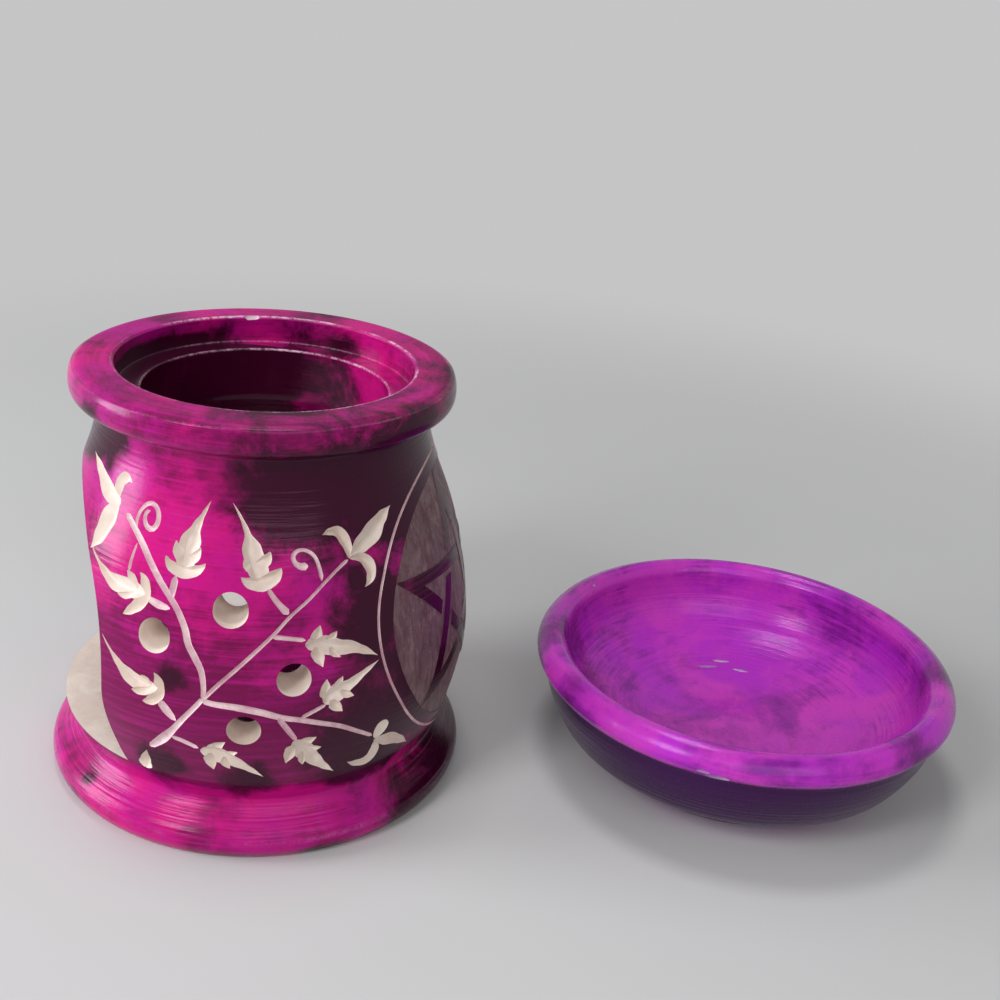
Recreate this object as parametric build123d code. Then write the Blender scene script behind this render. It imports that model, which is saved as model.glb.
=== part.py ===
from build123d import *
import os
from math import cos, radians, sin

# Essential oil burner in dyed soapstone: a turned, hollowed body with an arched doorway and
# drilled vents, a loose oil bowl that stands beside it, and the tea light that warms the oil.
# Millimetres, +Z up, origin at the middle of the body's foot, doorway towards -X.

# Overrun of each cut past the face that it opens
overrun = 2.0

# Body: overall height and the barrel's widest radius
body_h = 84.4
belly_r = 41.8

# Body: foot flange, as steps out from the belly and in from the flange's own bead
flange_out = 0.2
foot_in = 1.6
flange_bead_h = 3.0
flange_top_in = 1.3
flange_top_h = 6.0

# Body: barrel between the flange and the neck, as steps in from the belly
hip_in = 5.3
hip_h = 10.0
hip_swell_in = 2.1
shoulder_in = 3.3
neck_r = 31.4
neck_drop = 1.6
collar_out = 1.1
hip_swell_share = 0.115
belly_share = 0.327
shoulder_share = 0.651
collar_share = 0.9

# Body: rolled rim
rim_h = 6.4
rim_r = 36.2
rim_under_r = 33.9
crease_r = 35.7
crease_drop = 0.7
rim_flat_w = 6.2

# Body: bowl seat, mouth and chamber
seat_r = 28.0
seat_depth = 5.4
seat_break = 0.4
mouth_r = 23.3
throat_h = 10.5
wall_t = 7.6
chamber_floor_h = 15.3
chamber_heel_in = 1.6

# Body: arched doorway
door_jamb_in = 3.6
door_jamb_h = 15.8
door_arch_rise = 34.6

# Body: drilled vents, as turns from -Y and as shares of the body's height
vent_r = 3.0
vent_turns = (-27.5, -8.0, 8.0, -4.0)
vent_height_shares = (0.533, 0.611, 0.461, 0.34)
vent_panel_turns = (0, 180)

# Bowl: place beside the body
bowl_gap = 16.1
bowl_turn = -4.5

# Bowl: foot that drops into the seat
bowl_seat_clearance = 0.5
bowl_shoulder_gap = 0.6
bowl_foot_break = 0.5

# Bowl: belly, lip and hollow
bowl_h = 26.7
bowl_flat_w = 6.0
bowl_belly_out = 10.8
bowl_belly_rise = 2.9
bowl_neck_r = 42.3
bowl_lip_h = 6.6
bowl_lip_r = 44.5
bowl_lip_bulge_h = 3.2
bowl_crest_r = 40.9
bowl_inner_r = 38.2
bowl_inner_drop = 2.9
bowl_floor_h = 7.0
bowl_floor_r = 17.0
bowl_floor_dish = 0.4
bowl_side_in = 4.4
bowl_side_rise = 6.4

# Tea light: pressed cup, wax, wick and its sustainer
cup_r = 19.0
cup_h = 15.5
cup_t = 0.3
cup_bead_w = 0.6
cup_bead_h = 1.0
cup_bead_break = 0.25
wax_gap = 0.1
wax_drop = 1.6
wick_r = 0.8
wick_gap = 0.1
wick_out = 6.0
sustainer_r = 6.5
sustainer_t = 0.3
sleeve_r = 1.5
sleeve_h = 3.0

# Radii and heights that follow from the sizes above
flange_r = belly_r + flange_out
foot_r = flange_r - foot_in
flange_top_r = flange_r - flange_top_in
hip_r = belly_r - hip_in
hip_swell_r = belly_r - hip_swell_in
shoulder_r = belly_r - shoulder_in
collar_r = neck_r + collar_out
rim_under_h = body_h - rim_h
neck_h = rim_under_h - neck_drop
barrel_h = neck_h - hip_h
hip_swell_h = hip_h + hip_swell_share * barrel_h
belly_h = hip_h + belly_share * barrel_h
shoulder_h = hip_h + shoulder_share * barrel_h
collar_h = hip_h + collar_share * barrel_h
ledge_h = body_h - seat_depth
throat_end_h = ledge_h - throat_h
bowl_foot_r = seat_r - bowl_seat_clearance
bowl_foot_h = seat_depth + bowl_shoulder_gap
bowl_reach = flange_r + bowl_lip_r + bowl_gap


def at(r, h):
    return Vector(r, 0, h)


def turned(outline):
    return revolve(make_face(outline), Axis.Z, 360)


def lathe_closed(edges, axis_start, top_end):
    axis_end = at(0, top_end.Z)
    return turned(Curve() + [*edges, Line(top_end, axis_end), Line(axis_end, axis_start)])


def save(shape, node, colour):
    shape.label = node
    shape.color = Color(colour)
    export_step(shape, os.path.join("parts", node + ".step"))
    print(node, "volume", round(shape.volume, 1), "solids", len(shape.solids()))


# Body


def body_block():
    middle = at(0, 0)
    foot = at(foot_r, 0)
    flange_top = at(flange_top_r, flange_top_h)
    hip = at(hip_r, hip_h)
    neck = at(neck_r, neck_h)
    rim_under = at(rim_under_r, rim_under_h)
    crease = at(crease_r, body_h - crease_drop)
    flat_edge = at(seat_r + rim_flat_w, body_h)
    swell = at(hip_swell_r, hip_swell_h)
    belly = at(belly_r, belly_h)
    shoulder = at(shoulder_r, shoulder_h)
    collar = at(collar_r, collar_h)
    bead = ThreePointArc(foot, at(flange_r, flange_bead_h), flange_top)
    slope = TangentArc(flange_top, hip, tangent=(hip_r - flange_top_r, 0, flange_bead_h))
    barrel = Spline(hip, swell, belly, shoulder, collar, neck)
    cove = TangentArc(neck, rim_under, tangent=barrel % 1)
    roll = ThreePointArc(rim_under, at(rim_r, rim_under_h + rim_h / 2), crease)
    bevel = Line(crease, flat_edge)
    return lathe_closed([Line(middle, foot), bead, slope, barrel, cove, roll, bevel], middle, flat_edge)


def body_hollow():
    middle = at(0, chamber_floor_h)
    heel = at(belly_r - wall_t - chamber_heel_in, chamber_floor_h)
    belly = at(belly_r - wall_t, belly_h)
    shoulder = at(shoulder_r - wall_t, shoulder_h)
    throat_end = at(mouth_r, throat_end_h)
    ledge_in = at(mouth_r, ledge_h)
    ledge_out = at(seat_r, ledge_h)
    seat_top = at(seat_r, body_h - seat_break)
    seat_arris = at(seat_r + seat_break, body_h)
    opened = at(seat_r + seat_break, body_h + overrun)
    chamber = Spline(heel, belly, shoulder, throat_end)
    way_up = Polyline(throat_end, ledge_in, ledge_out, seat_top, seat_arris, opened)
    return lathe_closed([Line(middle, heel), chamber, way_up], middle, opened)


def doorway_cut():
    half_w = belly_r - wall_t - door_jamb_in
    spring_h = chamber_floor_h + door_jamb_h
    jamb_a = Line((half_w, chamber_floor_h), (half_w, spring_h))
    arch = EllipticalCenterArc((0, spring_h), half_w, door_arch_rise, arc_size=180)
    jamb_b = Line((-half_w, spring_h), (-half_w, chamber_floor_h))
    sill = Line((-half_w, chamber_floor_h), (half_w, chamber_floor_h))
    opening = Plane.YZ * make_face(Curve() + [jamb_a, arch, jamb_b, sill])
    return extrude(opening, belly_r + overrun, dir=(-1, 0, 0))


def vent_cuts():
    drill = Cylinder(vent_r, belly_r, align=(Align.CENTER, Align.CENTER, Align.MIN))
    cuts = []
    for panel in vent_panel_turns:
        for turn, share in zip(vent_turns, vent_height_shares):
            aim = Rot(0, 0, panel + turn) * Rot(90, 0, 0)
            cuts.append(Pos(0, 0, share * body_h) * aim * Pos(0, 0, overrun) * drill)
    return cuts


def burner_body():
    return body_block() - body_hollow() - doorway_cut() - vent_cuts()


# Bowl


def bowl_block():
    middle = at(0, 0)
    foot = at(bowl_foot_r - bowl_foot_break, 0)
    foot_side = at(bowl_foot_r, bowl_foot_break)
    foot_top = at(bowl_foot_r, bowl_foot_h)
    flat_end = at(bowl_foot_r + bowl_flat_w, bowl_foot_h)
    belly = at(bowl_foot_r + bowl_belly_out, bowl_foot_h + bowl_belly_rise)
    neck = at(bowl_neck_r, bowl_h - bowl_lip_h)
    bulge = at(bowl_lip_r, bowl_h - bowl_lip_h + bowl_lip_bulge_h)
    crest = at(bowl_crest_r, bowl_h)
    foot_run = Polyline(middle, foot, foot_side, foot_top, flat_end)
    side = Spline(flat_end, belly, neck, tangents=[(1, 0, 0), (0, 0, 1)])
    lip = ThreePointArc(neck, bulge, crest)
    return lathe_closed([foot_run, side, lip], middle, crest)


def bowl_hollow():
    middle = at(0, bowl_floor_h)
    floor_edge = at(bowl_floor_r, bowl_floor_h + bowl_floor_dish)
    side = at(bowl_inner_r - bowl_side_in, bowl_floor_h + bowl_side_rise)
    inner = at(bowl_inner_r, bowl_h - bowl_inner_drop)
    crest = at(bowl_crest_r, bowl_h)
    opened = at(bowl_crest_r, bowl_h + overrun)
    curve = Spline(middle, floor_edge, side, inner, tangents=[(1, 0, 0), (0, 0, 1)])
    lip = TangentArc(inner, crest, tangent=(0, 0, 1))
    return lathe_closed([curve, lip, Line(crest, opened)], middle, opened)


def oil_bowl():
    aim = radians(bowl_turn)
    place = Pos(bowl_reach * cos(aim), bowl_reach * sin(aim), 0)
    return place * (bowl_block() - bowl_hollow())


# Tea light


def upright(r, height, from_h):
    rod = Cylinder(r, height, align=(Align.CENTER, Align.CENTER, Align.MIN))
    return Pos(0, 0, from_h) * rod


def tealight_cup():
    top_h = chamber_floor_h + cup_h
    bead_r = cup_r + cup_bead_w
    bead_low = at(cup_r, top_h - cup_bead_h)
    bead_under = at(bead_r, top_h - cup_bead_h + cup_bead_break)
    bead_side = at(bead_r, top_h - cup_bead_break)
    bead_top = at(bead_r - cup_bead_break, top_h)
    middle = at(0, chamber_floor_h)
    shell = Polyline(middle, at(cup_r, chamber_floor_h), bead_low, bead_under, bead_side, bead_top)
    inside = upright(cup_r - cup_t, cup_h, chamber_floor_h + cup_t)
    return lathe_closed([shell], middle, bead_top) - inside


def wick_sustainer():
    base_h = chamber_floor_h + cup_t
    disc = upright(sustainer_r, sustainer_t, base_h)
    sleeve = upright(sleeve_r, sleeve_h, base_h)
    bore = upright(wick_r + wick_gap, sleeve_h + overrun, base_h + sustainer_t)
    return disc + sleeve - bore


def wax_top_h():
    return chamber_floor_h + cup_h - wax_drop


def tealight_wick():
    foot_h = chamber_floor_h + cup_t + sustainer_t
    return upright(wick_r, wax_top_h() + wick_out - foot_h, foot_h)


def tealight_wax():
    base_h = chamber_floor_h + cup_t
    fill = upright(cup_r - cup_t - wax_gap, wax_top_h() - base_h, base_h)
    disc_room = upright(sustainer_r + wax_gap, sustainer_t + wax_gap, base_h)
    sleeve_room = upright(sleeve_r + wax_gap, sleeve_h + wax_gap, base_h)
    wick_room = upright(wick_r + wick_gap, cup_h + overrun, base_h)
    return fill - disc_room - sleeve_room - wick_room


os.makedirs("parts", exist_ok=True)
save(burner_body(), "burner_body", "purple")
save(oil_bowl(), "oil_bowl", "darkorchid")
save(tealight_cup(), "tealight_cup", "silver")
save(tealight_wax(), "tealight_wax", "ivory")
save(tealight_wick(), "tealight_wick", "white")
save(wick_sustainer(), "wick_sustainer", "gray")
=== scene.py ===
from math import asin, atan2, cos, degrees, pi, radians, sin

import bmesh
import bpy
from mathutils import Matrix, Vector, noise
from mathutils.geometry import interpolate_bezier


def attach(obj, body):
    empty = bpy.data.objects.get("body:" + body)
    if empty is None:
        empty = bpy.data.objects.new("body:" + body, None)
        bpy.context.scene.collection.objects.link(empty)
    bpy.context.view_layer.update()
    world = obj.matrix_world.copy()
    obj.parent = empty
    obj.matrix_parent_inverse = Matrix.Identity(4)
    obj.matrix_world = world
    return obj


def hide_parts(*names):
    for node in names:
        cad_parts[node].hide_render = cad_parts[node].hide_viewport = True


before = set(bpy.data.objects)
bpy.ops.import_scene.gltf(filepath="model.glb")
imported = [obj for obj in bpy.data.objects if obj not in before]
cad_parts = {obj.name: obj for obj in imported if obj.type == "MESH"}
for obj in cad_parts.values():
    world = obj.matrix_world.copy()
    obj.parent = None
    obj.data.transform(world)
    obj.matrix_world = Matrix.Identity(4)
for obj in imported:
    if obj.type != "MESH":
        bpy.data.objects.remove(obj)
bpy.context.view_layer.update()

# Essential oil burner in dyed soapstone. Sizes are millimetres, turns are degrees from -Y towards +X.
mm = 0.001
up_axis = Vector((0, 0, 1))

# Body, the same named sizes as the solid
body_h = 84.4
foot_r = 40.4
flange_r = 42.0
flange_bead_h = 3.0
flange_top_r = 40.7
flange_top_h = 6.0
flange_slope_r = 38.5
flange_slope_h = 7.9
hip_r = 36.5
hip_h = 10.0
hip_swell_r = 39.7
hip_swell_h = 17.64
belly_r = 41.8
belly_h = 31.71
shoulder_r = 38.5
shoulder_h = 53.23
collar_r = 32.5
collar_h = 69.76
neck_r = 31.4
neck_h = 76.4
rim_under_r = 33.9
rim_under_h = 78.0
rim_cove_r = 32.1
rim_cove_h = 77.3
rim_r = 36.2
rim_bulge_h = 81.2
rim_round_in = 0.45
rim_round_up = 1.1
crease_r = 35.7
crease_h = 83.7
flat_edge_r = 34.2
seat_r = 28.0
seat_arris_r = 28.4
seat_break = 0.4
ledge_h = 79.0
mouth_r = 23.3
throat_end_h = 68.5
wall_t = 7.6
chamber_floor_h = 15.3
chamber_heel_in = 1.6
door_half_w = 30.6
door_spring_h = 31.1
door_arch_rise = 34.6
vent_r = 3.0
vent_flare = 0.3
vents = ((-27.5, 45.0), (-8.0, 51.6), (8.0, 38.9), (-4.0, 28.7))
overrun = 2.0

# Bowl, the same named sizes as the solid
bowl_place = Vector((102.28, -8.05, 0))
bowl_foot_r = 27.5
bowl_foot_h = 6.0
bowl_foot_break = 0.5
bowl_flat_r = 33.5
bowl_belly_r = 38.3
bowl_belly_h = 8.9
bowl_neck_r = 42.3
bowl_neck_h = 20.1
bowl_lip_r = 44.5
bowl_lip_h = 23.3
bowl_crest_r = 40.9
bowl_h = 26.7
bowl_inner_r = 38.2
bowl_inner_h = 23.8
bowl_side_r = 33.8
bowl_side_h = 13.4
bowl_floor_r = 17.0
bowl_floor_edge_h = 7.4
bowl_floor_h = 7.0
bowl_lip_aim = (1, 0.55)
bowl_crest_aim = (-1, 0.12)
bowl_inner_aim = (-1, -0.05)

# How finely the turned forms are cut
turn_steps = 240
run_step = 1.0


# Curves in the turning plane and on the barrel


def flat(r, h):
    return Vector((r, 0, h))


def tangents(points):
    inner = [(b - a).normalized() for a, b in zip(points, points[2:])]
    first = (points[1] - points[0]).normalized()
    last = (points[-1] - points[-2]).normalized()
    if not inner:
        return [first, last]
    start = 2 * first.dot(inner[0]) * first - inner[0]
    end = 2 * last.dot(inner[-1]) * last - inner[-1]
    return [start, *inner, end]


def smooth_run(points, step, start=None, end=None):
    aims = tangents(points)
    aims[0] = start.normalized() if start else aims[0]
    aims[-1] = end.normalized() if end else aims[-1]
    run = [points[0]]
    for a, b, leave, arrive in zip(points, points[1:], aims, aims[1:]):
        reach = (b - a).length / 3
        count = max(3, int((b - a).length / step) + 2)
        run += interpolate_bezier(a, a + leave * reach, b - arrive * reach, b, count)[1:]
    return run


def eased(runs, ease):
    """Joins runs end to end and rounds each joint by the given ease."""
    line = list(runs[0])
    for run, r in zip(runs[1:], ease):
        corner = line[-1]
        run = list(run)
        while len(line) > 1 and (line[-1] - corner).length < r:
            line.pop()
        while len(run) > 1 and (run[0] - corner).length < r:
            run.pop(0)
        a = corner + (line[-1] - corner).normalized() * r
        b = corner + (run[0] - corner).normalized() * r
        line += interpolate_bezier(a, corner.lerp(a, 0.4), corner.lerp(b, 0.4), b, 5) + run
    return line


def turned_line(runs, ease):
    return eased([smooth_run(points, step) if step else points for points, step in runs], ease)


barrel_spots = ((hip_r, hip_h), (hip_swell_r, hip_swell_h), (belly_r, belly_h), (shoulder_r, shoulder_h),
                (collar_r, collar_h), (neck_r, neck_h))
barrel_run = smooth_run([flat(r, h) for r, h in barrel_spots], run_step)


def barrel_r(height):
    for low, high in zip(barrel_run, barrel_run[1:]):
        if height <= high.z:
            share = (height - low.z) / (high.z - low.z)
            return low.x + (high.x - low.x) * share
    return barrel_run[-1].x


def round_at(r, turn, height):
    return Vector((r * sin(radians(turn)), -r * cos(radians(turn)), height))


def on_barrel(turn, height, proud=0.0):
    return round_at(barrel_r(height) + proud, turn, height)


def barrel_out(turn, height):
    slope = barrel_r(height + 0.5) - barrel_r(height - 0.5)
    return round_at(1, turn, -slope).normalized()


# Mesh making


def piece(name, bm, place=Vector()):
    bmesh.ops.transform(bm, matrix=Matrix.Scale(mm, 4) @ Matrix.Translation(place), verts=bm.verts)
    mesh = bpy.data.meshes.new(name)
    bm.to_mesh(mesh)
    bm.free()
    obj = bpy.data.objects.new(name, mesh)
    bpy.context.scene.collection.objects.link(obj)
    return obj


def lathe(points, steps=turn_steps, join=0.001):
    bm = bmesh.new()
    verts = [bm.verts.new(p) for p in points]
    edges = [bm.edges.new(pair) for pair in zip(verts, verts[1:])]
    bmesh.ops.spin(bm, geom=verts + edges, cent=Vector(), axis=up_axis, angle=2 * pi, steps=steps,
                   use_merge=True)
    bmesh.ops.remove_doubles(bm, verts=bm.verts, dist=join)
    bmesh.ops.recalc_face_normals(bm, faces=bm.faces)
    return bm


def tube_through(bm, rings):
    """Extrudes a ring of edges from station to station and closes both ends."""
    start = bmesh.ops.create_circle(bm, cap_ends=False, segments=len(rings[0]), radius=1)["verts"]
    for v, p in zip(start, rings[0]):
        v.co = p
    edges = list({e for v in start for e in v.link_edges})
    first = edges
    ring = start
    for stop in rings[1:]:
        out = bmesh.ops.extrude_edge_only(bm, edges=edges)["geom"]
        edges = [g for g in out if isinstance(g, bmesh.types.BMEdge)]
        fresh = {v for e in edges for v in e.verts}
        ring = [next(w for e in v.link_edges for w in e.verts if w in fresh and w is not v) for v in ring]
        for v, p in zip(ring, stop):
            v.co = p
        edges = [e for e in edges if e.verts[0] in fresh and e.verts[1] in fresh]
    bmesh.ops.contextual_create(bm, geom=first)
    bmesh.ops.contextual_create(bm, geom=edges)


def closed(bm):
    bm.normal_update()
    bmesh.ops.recalc_face_normals(bm, faces=bm.faces)
    return bm


def tube(rings):
    bm = bmesh.new()
    tube_through(bm, rings)
    return closed(bm)


# Gouges in the barrel

gouge_sides = 8
gouge_over = 0.6
thinnest_half_w = 0.04
blunt_end = 0.25
shallowing = 0.7


def width_at(widths, share):
    place = share * (len(widths) - 1)
    i = min(int(place), len(widths) - 2)
    part = place - i
    part = part * part * (3 - 2 * part)
    return widths[i] + (widths[i + 1] - widths[i]) * part


def gouge_section(half_w, depth, lean, crease=1.8):
    """Outline across a gouge: walls that stand proud, and a floor that may lean and may be creased."""
    section = [(half_w, gouge_over), (-half_w, gouge_over)]
    for i in range(gouge_sides + 1):
        x = -1 + 2 * i / gouge_sides
        side = 1 + lean if x < lean else 1 - lean
        away = abs(x - lean) / max(side, 0.05)
        section.append((x * half_w, -depth * (1 - away ** crease)))
    return section


def gouge(path, widths, cut, panel):
    """One stroke of the carver: path in turns and heights, widths along it in millimetres."""
    depth, lean, crease, step = cut
    arc = radians(1) * belly_r
    points = [Vector((turn * arc, 0, height)) for turn, height in path]
    run = smooth_run(points, step)
    spots = [(p.x / arc + panel, p.z) for p in run]
    lengths = [0]
    for a, b in zip(run, run[1:]):
        lengths.append(lengths[-1] + (b - a).length)
    widest = max(widths)
    rings = []
    for i, (turn, height) in enumerate(spots):
        here = on_barrel(turn, height)
        back = on_barrel(*spots[max(i - 1, 0)])
        ahead = on_barrel(*spots[min(i + 1, len(spots) - 1)])
        out = barrel_out(turn, height)
        across = out.cross(ahead - back).normalized()
        width = width_at(widths, lengths[i] / lengths[-1])
        half_w = max(width / 2, thinnest_half_w)
        end_gap = min(lengths[i], lengths[-1] - lengths[i])
        if end_gap < half_w:
            half_w *= max(blunt_end, (1 - (1 - end_gap / half_w) ** 2) ** 0.5)
        deep = depth * min(1, 2 * half_w / widest) ** shallowing
        rings.append([here + across * x + out * y for x, y in gouge_section(half_w, deep, lean, crease)])
    return tube(rings)


# Vine panel, as strokes in turns and heights

# Each kind of stroke: its depth, how far its floor leans, how sharp its crease is, and its step
stem_cut = (0.5, 0.0, 1.8, 0.7)
bud_cut = (1.5, 0.35, 1.6, 0.6)
petal_cut = (1.3, 0.0, 1.15, 0.6)
leaf_cut = (1.3, 0.1, 1.2, 0.6)
leaf_point_cut = (1.3, 0.2, 1.3, 0.6)
leaf_point_waist = 0.8
leaf_point_tip_w = 0.45
stems = (
    (((-14, 34.5), (-13.9, 37), (-14.6, 40), (-16.2, 42.2), (-18.2, 44.6), (-19.3, 47.2), (-21.6, 50.2),
      (-24, 52.2), (-27.5, 54.7), (-31, 57.2), (-34.5, 59.6), (-38.5, 61.7), (-43, 63.6)),
     (0.9, 1.3, 1.2, 1.3, 1.1)),
    (((-14, 34.6), (-10, 38), (-5, 41.7), (0, 45.3), (3, 47.4), (7, 50.4), (12, 53.2), (15.5, 55.3),
      (20, 57.6), (23.6, 59)), (0.8, 0.75, 0.65, 0.55, 0.6)),
    (((-14.2, 34.5), (-12, 34), (-6, 33.6), (0, 32.7), (5, 31.5), (10, 30.6), (15, 29.4), (20, 28),
      (25, 25.8), (30, 23.4)), (1.1, 1.4, 1.1, 1.0, 0.8)),
    (((-13.8, 35), (-16, 32.8), (-19, 30), (-22, 27), (-25, 24.4), (-28.9, 21.8)), (0.9, 1.0, 1.2, 1.9, 1.3)),
    (((-23.2, 56), (-23.5, 54), (-23.9, 51.8)), (1.2, 1.3, 1.1)),
    (((-30.6, 51.3), (-27.5, 50.6), (-23.8, 50.3)), (1.0, 1.5, 0.9)),
    (((1.3, 55.4), (3.5, 53.2), (6.6, 50.9)), (0.8, 1.0, 1.4)),
    (((2.5, 46.9), (6, 46.6), (10.8, 46)), (0.9, 0.8, 0.8)),
    (((9.8, 31.1), (13, 32.2), (16, 33.2)), (0.8, 0.8, 0.7)),
    (((-25.2, 32.9), (-22.8, 30.9), (-20.8, 29.4)), (1.5, 1.7, 1.0)),
    (((-22.2, 25.6), (-19, 25), (-15.4, 23.9)), (0.9, 1.0, 0.9)),
    (((4.2, 31.5), (6.3, 29.2), (8.9, 26.2)), (1.0, 1.1, 0.9)),
    (((-36.6, 59.6), (-37.2, 57.2), (-37.4, 54.6)), (0.4, 0.6, 0.7)),
    (((-37.1, 60.4), (-38.4, 62), (-38.6, 64), (-37.3, 65.7), (-35, 66.5), (-32.6, 65.9), (-31.5, 64.1),
      (-32.6, 62.6), (-34.5, 62.6), (-36, 63.6), (-36.1, 64.7), (-34.9, 65.3)), (0.6, 0.7, 0.9, 1.0, 0.7)),
    (((15.6, 56.2), (15.2, 58.2), (14.1, 60.2), (12.3, 61.2), (10, 61.5), (8.2, 60.8), (8.3, 59.7),
      (9.8, 58.9), (12, 58.9)), (0.75, 0.7, 0.65, 0.8, 1.5)),
)
# Bud leaves: a cup, a smaller cup on it, and a long drawn-out tip
bud_strokes = (
    # Beside the upper left stem
    (((-26.9, 59.0), (-24.8, 57.5), (-20.9, 56.9), (-17.2, 57.7), (-15.5, 58.8)), (0.6, 2.0, 2.3, 2.0, 0.5)),
    (((-24.7, 61.7), (-23.3, 60), (-21, 59.2), (-18.8, 59.8), (-17.4, 61.3)), (0.5, 2.3, 2.9, 2.3, 0.5)),
    (((-21.2, 57), (-21, 59.5), (-20.6, 61.6), (-19.3, 64.6), (-17.7, 66.8), (-16, 68.9)),
     (3.0, 3.8, 3.9, 1.7, 0.7, 0.15)),
    # Over the upper right stem
    (((-5.7, 57.1), (-3.6, 56.3), (-0.5, 56.2), (2.5, 57.1), (4.8, 58.7)), (0.6, 2.2, 3.0, 2.6, 0.9)),
    (((-5.1, 60.1), (-3.9, 59), (-1.7, 59.1), (0.7, 60.1), (1.8, 61.4)), (0.5, 2.0, 2.6, 2.2, 0.6)),
    (((-0.3, 56.4), (-1.4, 58.6), (-2.6, 60.6), (-5, 64.8), (-7.1, 67.1), (-9.3, 69)),
     (3.2, 3.7, 3.4, 1.0, 0.5, 0.15)),
    # Points left, under the wide leaf
    (((-33.7, 55.1), (-31.9, 53.9), (-31.4, 51.9), (-32.6, 49.9), (-34.9, 48.3), (-37.3, 47)),
     (0.5, 1.9, 2.5, 2.4, 1.8, 0.5)),
    (((-38, 54.7), (-35.9, 53.5), (-35.3, 52.1), (-37, 50.8), (-40, 50.2)), (0.5, 2.0, 2.6, 2.0, 0.5)),
    (((-31.8, 51.5), (-34.6, 51.8), (-37.8, 51.9), (-42.5, 52), (-48, 53.7), (-53.4, 56)),
     (2.6, 3.4, 3.2, 1.8, 0.6, 0.15)),
    # Over the lower left stem
    (((-26.8, 38), (-25.4, 36.3), (-25.6, 34), (-27.4, 32.5), (-29.8, 31.9)), (0.5, 2.0, 2.5, 2.1, 0.6)),
    (((-30.4, 36.9), (-28.8, 35.7), (-29, 34.5), (-30.8, 33.8), (-33, 33.5)), (0.5, 1.9, 2.4, 1.9, 0.5)),
    (((-25.9, 34.9), (-28, 34.9), (-30.6, 35.1), (-34.5, 36.2), (-39, 38.7), (-43.6, 41.8)),
     (2.4, 3.2, 3.0, 1.5, 0.5, 0.15)),
)
# Petals with a crease down the middle
petals = (
    # Wide flower at the top left
    (((-46.6, 64.4), (-53.5, 65.5), (-60.5, 67.6), (-69.2, 69.5)), (2.2, 3.3, 2.0, 0.15)),
    (((-47.8, 65.2), (-49.3, 67.3), (-47.8, 68.8), (-44.2, 68.6)), (1.2, 2.5, 2.2, 0.3)),
    (((-47.6, 64.7), (-49.8, 61.6), (-51, 58.6), (-53.6, 55.3)), (2.0, 4.4, 3.4, 0.3)),
    # Upper right flower
    (((16.8, 63.6), (19.5, 64), (21.9, 63.7), (23.6, 62), (24.3, 60.4), (24.3, 59.1)),
     (0.2, 1.3, 2.0, 2.2, 1.7, 0.9)),
    (((24.5, 59.4), (28.4, 61), (32.4, 62.4), (36.2, 64.2), (41.4, 66)), (0.9, 3.2, 3.9, 2.4, 0.15)),
    (((24.3, 59.1), (27.6, 59), (30, 57.4), (30.1, 55.5), (27.8, 53.8)), (0.9, 1.7, 2.4, 1.9, 0.2)),
    # Lower right flower
    (((31.1, 22.4), (32.6, 24.4), (33.6, 26.2)), (1.7, 3.0, 3.2)),
    (((31, 21.9), (36, 20.8), (40.5, 19.1), (45.3, 16.6)), (1.3, 3.1, 2.0, 0.15)),
    (((31.1, 21.4), (31.9, 19.2), (30.6, 17.3), (27.6, 17.1), (23.8, 18.2)), (1.0, 2.4, 2.6, 1.7, 0.2)),
    # Leaf scrap at the lower left end
    (((-30.3, 20.4), (-31, 18.4), (-32.2, 15.4)), (0.4, 2.2, 3.8)),
)
# Five-pointed leaves: the middle stroke, then each point as its root, tip and width
leaves = (
    (((10.8, 45.2), (15.5, 44.8), (19.4, 43.9), (23.6, 43.3), (30.4, 40.6)), (2.0, 3.6, 2.8, 1.6, 0.15),
     (((13, 45.2), (14.7, 48.4), 2.5), ((13.2, 44.4), (15.2, 40.7), 2.7), ((16.5, 45), (19.1, 46.9), 1.9),
      ((17, 43.9), (19.8, 42), 1.9))),
    (((15.6, 33.4), (18.3, 35), (22.6, 36.5), (26, 37.9), (30.6, 39.6)), (2.6, 3.8, 2.0, 1.1, 0.15),
     (((15.7, 34.4), (16.2, 38.2), 2.5), ((17.2, 33.6), (20.4, 31.2), 2.5), ((18.2, 35.6), (20.4, 38.2), 1.9),
      ((19.8, 35), (23.4, 33.9), 1.9))),
    (((-14.9, 23.4), (-11, 22.9), (-7, 21.6), (-3.5, 20), (1, 17.5)), (2.2, 3.8, 2.5, 1.3, 0.15),
     (((-12.8, 23.6), (-8.6, 26), 2.5), ((-13, 22.6), (-11.8, 19), 2.6), ((-9, 22.8), (-5.6, 23.7), 1.9),
      ((-9.6, 21.8), (-7.6, 19.5), 1.9))),
    (((8.4, 26.2), (10.6, 24), (13, 21.8), (16, 19.4), (20.1, 16.7)), (2.2, 4.0, 2.8, 1.5, 0.15),
     (((9.6, 25), (14, 26.4), 2.5), ((8.3, 25), (6.6, 20.8), 2.8), ((11.8, 23.6), (15.5, 23.8), 1.9),
      ((10.6, 22.8), (11, 20), 1.9))),
)


def vine_cutters(panel):
    cutters = []
    for strokes, cut, slot in ((stems, stem_cut, thin_cut), (bud_strokes, bud_cut, bare_stone),
                               (petals, petal_cut, bare_stone)):
        cutters += [(gouge(path, widths, cut, panel), slot) for path, widths in strokes]
    for path, widths, points in leaves:
        cutters.append((gouge(path, widths, leaf_cut, panel), bare_stone))
        for root, tip, width in points:
            widths = (width, width * leaf_point_waist, leaf_point_tip_w)
            cutters.append((gouge((root, tip), widths, leaf_point_cut, panel), bare_stone))
    return cutters


# Star panel: a five-pointed star in a circle, drawn flat and pressed straight onto the barrel

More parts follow.
